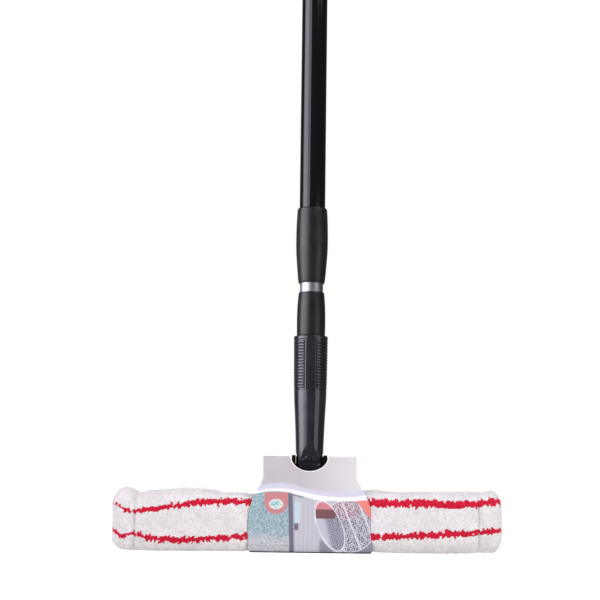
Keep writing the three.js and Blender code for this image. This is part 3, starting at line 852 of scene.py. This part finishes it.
def cover_base(x_rows, to_end):
    """The cloth without pile or folds, as a grid of rows by points round."""
    top = softened(lookup(x_rows, TOP_LINE)) - PILE * 0.9
    foot = softened(lookup(x_rows, FOOT_LINE)) + PILE * 0.75

    # Half thickness: pinched at the creases and under the card, closed at the ends.
    thick = np.full_like(x_rows, COVER["thickness"])
    for crease in CREASES:
        thick -= 2.2 * hill(x_rows - crease, 1.6) + 1.6 * hill(x_rows - crease, 5)
    outside = np.where(x_rows < 0, CREASES[0] - x_rows, x_rows - CREASES[1])
    thick -= 3.4 * share(outside, 10)
    thick -= 1.9 * share(CARD_EDGE + 2 - np.abs(x_rows), 5)
    closing = quarter(share(to_end, COVER["reach"]))
    thick *= closing

    # The ends' corners are rounded in elevation too.
    dip = COVER["rounding"] * (1 - quarter(share(to_end, COVER["rounding"])))
    middle, half = ((top + foot) / 2)[:, None], ((top - foot) / 2 - dip)[:, None]

    thick = thick[:, None]
    radius_y = np.minimum(COVER["corner"], thick * 0.95)
    radius_z = np.minimum(COVER["corner"], half * 0.95)
    side, level, draw_in, rise = rounded_rectangle().T
    y = side * (thick - radius_y + radius_y * (1 - draw_in))
    z = middle + level * (half - radius_z + radius_z * rise)
    crown = 1.4 * (1 - np.clip(np.abs((z - middle) / half), 0, 1) ** 2) * closing[:, None]
    y = y + np.sign(side) * crown * (draw_in < 1)
    x = x_rows[:, None] + 0 * y
    return np.stack([x, y, z], -1), np.stack([x, 0 * y, middle + 0 * z], -1)


def outward_normals(base, axis):
    """Normals from the grid's own tangents, turned away from the axis."""
    along = np.gradient(base, axis=0)
    around = np.roll(base, -1, 1) - np.roll(base, 1, 1)
    normal = np.cross(along, around)
    normal /= np.linalg.norm(normal, axis=-1, keepdims=True) + TINY
    return normal * np.sign((normal * (base - axis)).sum(-1).mean())


def terry_loops(rng, base):
    """Jittered cells over the cloth, each a rounded loop of its own height.

    Gives each point's height in its loop, and whether the loop is red.
    """
    rows, columns = base.shape[:2]
    run = np.concatenate([[0], np.cumsum(np.linalg.norm(np.diff(base, axis=0), axis=-1).mean(1))])
    perimeter = np.linalg.norm(np.roll(base, -1, 1) - base, axis=-1).sum(1)[rows // 3]
    shape = (int(run[-1] / LOOP_SIZE) + 4, int(perimeter / LOOP_SIZE))
    cells_along, cells_round = shape
    jitter = rng.uniform(0.08, 0.92, (*shape, 2))
    tall = rng.uniform(0.55, 1.0, shape)

    # The point of the grid at each cell's centre decides whether the cell is red.
    centre_run = (np.arange(cells_along)[:, None] - 1 + jitter[..., 0]) * LOOP_SIZE
    centre_row = np.clip(np.interp(centre_run, run, np.arange(rows)), 0, rows - 1).astype(int)
    turned = (np.arange(cells_round)[None] + jitter[..., 1]) / cells_round
    centre = base[centre_row, (turned * columns).astype(int) % columns]
    ragged = rng.normal(0, 0.55, shape) + 0.5 * smooth_noise(rng, centre.reshape(-1, 3), 5).reshape(shape)
    red_cell = np.zeros(shape)
    for band in (UPPER_BAND, LOWER_BAND):
        level, wide = lookup(centre[..., 0], band)
        red_cell = np.maximum(red_cell, np.abs(centre[..., 2] - level) + 1.1 * ragged < wide * 0.415)

    # Each point belongs to the loop that stands highest there, out of the nine around it.
    a = np.repeat(run / LOOP_SIZE, columns)
    b = np.tile(np.arange(columns) / columns * cells_round, rows)
    best, red = np.full(len(a), -9.0), np.zeros(len(a))
    for step in np.ndindex(3, 3):
        i = np.clip(np.floor(a).astype(int) + step[0], 0, cells_along - 1)
        unwrapped = np.floor(b).astype(int) + step[1] - 1
        j = unwrapped % cells_round
        away = (a - (i - 1 + jitter[i, j, 0])) ** 2 + (b - (unwrapped + jitter[i, j, 1])) ** 2
        value = tall[i, j] * (1 - away / 1.25)
        closer = value > best
        best = np.where(closer, value, best)
        red = np.where(closer, red_cell[i, j], red)
    return np.clip(best, 0, 1), red


def cover():
    """The terry cover: a fine grid with folds, lumps and loops."""
    rng = np.random.default_rng(11)
    x_rows = cover_rows()
    to_end = np.minimum(x_rows - COVER["left"], COVER["right"] - x_rows)
    base, axis = cover_base(x_rows, to_end)
    rows, columns = base.shape[:2]
    normal = outward_normals(base, axis).reshape(-1, 3)

    flat = base.reshape(-1, 3)
    near_card = share(CARD_EDGE + 1 - np.abs(flat[:, 0]), 3)
    folds = 0.5 * smooth_noise(rng, flat * (1, 0.6, 1), 46) + 0.3 * smooth_noise(rng, flat, 17)
    folds *= np.repeat(np.clip(to_end / 12, 0.15, 1), columns) * (1 - 0.85 * near_card)
    lumps = 0.2 * smooth_noise(rng, flat, 6.5)
    loops, red = terry_loops(rng, base)
    lift = folds + lumps + PILE * (1 - 0.8 * near_card) * (loops - 0.35) * 1.5
    vertices = flat + normal * lift[:, None]

    # The cloth rests on the floor, and lies flat under the card.
    vertices[:, 2] = np.maximum(vertices[:, 2], 0.12 + 0.25 * loops)
    under = np.abs(vertices[:, 0]) < 56
    vertices[under, 2] = np.maximum(vertices[under, 2], 0.75)
    vertices[under, 1] = np.clip(vertices[under, 1], -17.0, 17.0)

    piece = new_piece("cover_terry", vertices, ring_faces(rows, columns), "mop_cover")
    for name, values in (("red", red), ("height", loops)):
        piece.data.attributes.new(name, "FLOAT", "POINT").data.foreach_set("value", values.astype(np.float32))
    tidy(piece, 0.002)
    piece.data.shade_smooth()
    return piece


# ---- The card sleeve ----

# (z, half width) of the card, and (z, x) of its middle.
CARD_WIDTH = [
    (0, 54), (1.5, 55.2), (4, 56.1), (20, 56.4), (34, 55.5), (41.5, 54.3), (47.5, 52.2), (53.5, 49.4),
    (59, 45.8), (63.5, 43.4), (68, 42.2), (87, 42.1),
]
CARD_MIDDLE = [(0, 1.6), (50, 1.0), (87, 0.1)]


def card_section():
    """The card's closed section as (y, z) points, nearly evenly spaced."""
    inset = 0.25
    half, shoulder, top = (CARD[key] - inset for key in ("half", "shoulder", "top"))
    side = [
        (-9, 0.28), (-13.4, 0.3), (-16.6, 2.4), (-half, 7), (-half, 12), (-half - 0.15, 24),
        (-half - 0.2, 34), (-half, 44), (-17.6, 52), (-17.1, 60), (-16.7, 66), (-shoulder - 0.45, 79),
    ]
    profile = [(y, z, SMOOTH) for y, z in side] + [(-shoulder, top, 0.7), (shoulder, top, 0.7)]
    profile += [(-y, z, SMOOTH) for y, z in side[::-1]]
    path = eased(profile, 8)
    loop = np.vstack([path, path[:1]])
    length = np.concatenate([[0], np.cumsum(np.linalg.norm(np.diff(loop, axis=0), axis=1))])
    keep = np.concatenate([[True], np.diff(length) > 1e-6])
    steps = np.concatenate([np.linspace(0, length[-1], 190), length[keep]])
    steps = np.unique(np.round(steps, 3))[:-1]
    steps = steps[np.concatenate([[True], np.diff(steps) > 0.12])]
    return [np.interp(steps, length[keep], loop[keep, axis]) for axis in (0, 1)]


def notch_cutter():
    """A bar through the card, rounded below and open above."""
    wide, deep, top = CARD["notch"], CARD["notch_depth"], CARD["top"]
    turn = np.linspace(math.pi, 2 * math.pi, 49)
    outline = [(wide * math.cos(a), top + deep * math.sin(a)) for a in turn]
    outline += [(wide, top + 4), (-wide, top + 4)]
    count = len(outline)
    points = [(x, y, z) for y in (-40, 40) for x, z in outline]
    faces = [(i, (i + 1) % count, count + (i + 1) % count, count + i) for i in range(count)]
    faces += [tuple(range(count))[::-1], tuple(range(count, 2 * count))]
    mesh = bpy.data.meshes.new("notch_cutter")
    mesh.from_pydata((np.array(points) * MM).tolist(), [], faces)
    mesh.materials.append(CARD_CORE)
    cutter = bpy.data.objects.new("notch_cutter", mesh)
    bpy.context.scene.collection.objects.link(cutter)
    bm = bmesh.new()
    bm.from_mesh(mesh)
    bmesh.ops.recalc_face_normals(bm, faces=bm.faces)
    bm.to_mesh(mesh)
    bm.free()
    return cutter


def card():
    """A strip of card round the head: bottom, front, flat top and back, cut through for the neck."""
    y, z = (values[:, None] for values in card_section())
    across = np.linspace(-1, 1, 91)
    x = lookup(z, CARD_WIDTH) * across + lookup(z, CARD_MIDDLE)
    # The front and back belly out a little over the cloth, more at mid-width than at the cut edges.
    belly = 0.35 * np.sin(share(z, 60) * math.pi) * (1 - across**2)
    curl = 0.25 * np.sin(across * 5 + 0.6) * share(z - 20, 60)
    y = y + np.sign(y) * (belly + curl * (np.abs(y) > 12))
    grid = np.stack([x, y, z + 0 * across], -1)
    rows, columns = grid.shape[:2]
    faces = []
    for i in range(rows):
        here, after = i * columns, (i + 1) % rows * columns
        faces += [(here + j, here + j + 1, after + j + 1, after + j) for j in range(columns - 1)]
    piece = new_piece("card_printed", grid.reshape(-1, 3), faces, "card_sleeve")
    tidy(piece, 0.001)
    piece.data.materials.append(CARD_CORE)
    thicken = piece.modifiers.new("thickness", "SOLIDIFY")
    thicken.thickness = CARD["thickness"] * MM
    thicken.offset = 0
    thicken.use_even_offset = True
    thicken.material_offset_rim = 1

    cutter = notch_cutter()
    cut = piece.modifiers.new("notch", "BOOLEAN")
    cut.operation = "DIFFERENCE"
    cut.solver = "EXACT"
    cut.object = cutter
    cut.material_mode = "TRANSFER"
    apply_modifiers(piece)
    bpy.data.objects.remove(cutter)
    return shade(piece, 40)


# ---- The stage ----

LENS, SENSOR = 87.36, 36
CAMERA_PLACE = (-0.0106, -1.344, 0.0336)
CAMERA_AIM = (-0.0103, 0, 0.2324)
CAMERA_ROLL = 0.75
FLOOR_HALF = 60.0
LILAC, COOL, WHITE = (0.93, 0.885, 1.0), (0.94, 0.93, 1.0), (1, 1, 1)


def studio():
    """A dim room that is brighter behind the object, and white wherever the camera sees it."""
    world = bpy.data.worlds.new("studio")
    bpy.context.scene.world = world
    world.use_nodes = True
    t = Tree(world.node_tree)
    direction = t.axes(t.node("ShaderNodeTexCoord").outputs["Generated"])
    room = t.mix(t.ramp(direction["Y"], 0.72, 0.97, smooth=True), (0.05, 0.05, 0.055), (0.62, 0.6, 0.62))
    seen = t.node("ShaderNodeLightPath").outputs["Is Camera Ray"]
    t.feed(world.node_tree.nodes["Background"].inputs["Color"], t.mix(seen, room, (1.0, 1.0, 0.99)))


def pale_floor():
    """A wide floor that glows, more so at a grazing angle, and that glossy surfaces don't reflect."""
    mesh = bpy.data.meshes.new("floor")
    corners = [(-1, -1), (1, -1), (1, 1), (-1, 1)]
    mesh.from_pydata([(x * FLOOR_HALF, y * FLOOR_HALF, 0) for x, y in corners], [], [(0, 1, 2, 3)])
    floor = bpy.data.objects.new("floor", mesh)
    bpy.context.scene.collection.objects.link(floor)
    s = Shader("pale_floor")
    glancing = s.node("ShaderNodeLayerWeight")
    glancing.inputs["Blend"].default_value = 0.5
    color = s.mix(s.noise(4, detail=3), (0.36, 0.36, 0.36), (0.44, 0.44, 0.44))
    glow = s.ramp(glancing.outputs["Facing"], 0.5, 0.92, 0.56, 1.0, smooth=True)
    mesh.materials.append(s.surface(color, 0.9, Emission_Color=(1, 1, 0.99), Emission_Strength=glow))
    floor.visible_glossy = False
    return floor


def softbox(name, place, target, width, height, power, color=WHITE):
    light = bpy.data.lights.new(name, "AREA")
    light.shape = "RECTANGLE"
    light.size, light.size_y = width, height
    light.energy = power
    light.color = color
    box = bpy.data.objects.new(name, light)
    box.location = place
    box.rotation_euler = (Vector(target) - Vector(place)).to_track_quat("-Z", "Y").to_euler()
    bpy.context.scene.collection.objects.link(box)
    return box


def at(azimuth, distance):
    """A point on the floor plan: degrees to the right of the front, and metres away."""
    return np.array([math.sin(math.radians(azimuth)), -math.cos(math.radians(azimuth))]) * distance


def wall(name, start, end, z_low, z_high, radiance, color):
    """An upright softbox between two points of the floor plan, facing the object."""
    middle, along = (start + end) / 2, end - start
    width, height = np.linalg.norm(along), z_high - z_low
    inward = np.array([along[1], -along[0]]) / width
    inward = inward if inward @ -middle > 0 else -inward
    z = (z_low + z_high) / 2
    power = radiance * math.pi * width * height
    return softbox(name, (*middle, z), (*(middle + inward), z), width, height, power, color)


def keep_off(light, *pieces):
    """The light leaves these pieces dark."""
    group = bpy.data.collections.new(light.name + "_off")
    for piece in pieces:
        group.objects.link(piece)
    light.light_linking.receiver_collection = group
    for row in group.collection_objects:
        row.light_linking.link_state = "EXCLUDE"


def lights(floor, soft_pieces, hard_pieces):
    """Upright softboxes at both sides for the highlights, and slanting ones above and behind."""
    keep_off(wall("key_wide", at(-26, 1.95), at(-96, 1.3), 0.02, 1.28, 2.8, LILAC), floor)
    keep_off(wall("key_core", at(-50, 1.45), at(-86, 1.25), 0.02, 1.28, 2.5, LILAC), floor, *soft_pieces)
    keep_off(wall("low_right", at(36, 1.45), at(68, 1.45), -0.02, 0.52, 1.5, COOL), floor)
    softbox("overhead", (1.2, -1.1, 1.7), (0, 0, 0.1), 1.6, 1.2, 11)
    keep_off(softbox("top_right", (0.75, -0.55, 1.3), (0.1, 0, 0.03), 0.9, 0.7, 9), *hard_pieces)
    keep_off(softbox("fill_right", (1.3, -1.5, 0.9), (0, 0, 0.05), 1.3, 1.0, 11), *hard_pieces)
    back_fill = softbox("back_fill", (-0.5, 1.8, 1.0), (0, 0, 0.05), 1.4, 1.0, 26)
    back_fill.visible_camera = False
    keep_off(back_fill, floor, *hard_pieces)


def camera():
    """The camera looks up a little from near the floor, and is rolled by under a degree."""
    scene = bpy.context.scene
    viewer = bpy.data.objects.new("camera", bpy.data.cameras.new("camera"))
    scene.collection.objects.link(viewer)
    scene.camera = viewer
    viewer.data.lens = LENS
    viewer.data.sensor_width = SENSOR
    viewer.location = CAMERA_PLACE
    rise = CAMERA_AIM[2] - CAMERA_PLACE[2]
    tilt = math.pi / 2 + math.atan2(rise, -CAMERA_PLACE[1])
    roll = math.radians(CAMERA_ROLL)
    viewer.rotation_euler = (Matrix.Rotation(tilt, 3, "X") @ Matrix.Rotation(roll, 3, "Z")).to_euler()
    scene.view_settings.view_transform = "Standard"
    scene.view_settings.look = "None"


# ---- The whole mop ----

# The width of the rounding on the edges of the CAD shapes that are used as they are.
EASED = {
    "swivel_yoke": 0.7, "head_bar": 0.8, "bar_bumper_left": 0.8, "bar_bumper_right": 0.8,
    "foam_pad_front": 0.8, "foam_pad_back": 0.8, "yoke_screw_left": 0.12, "yoke_screw_right": 0.12,
    "pivot_pin": 0.12, "pin_clip": 0.12, "friction_washer_left": 0.12, "friction_washer_right": 0.12,
}

pole()
neck()
soft_cover, sleeve = cover(), card()
for node, width in EASED.items():
    chamfered(node, width, 3 if width > 0.5 else 2)
hem = chamfered("opening_hem", 0.8, 3, HEM_TAPE)
soft = (soft_cover, sleeve, hem)
hard = [piece for piece in bpy.context.scene.collection.objects if piece.type == "MESH" and piece not in soft]
studio()
lights(pale_floor(), soft, hard)
camera()
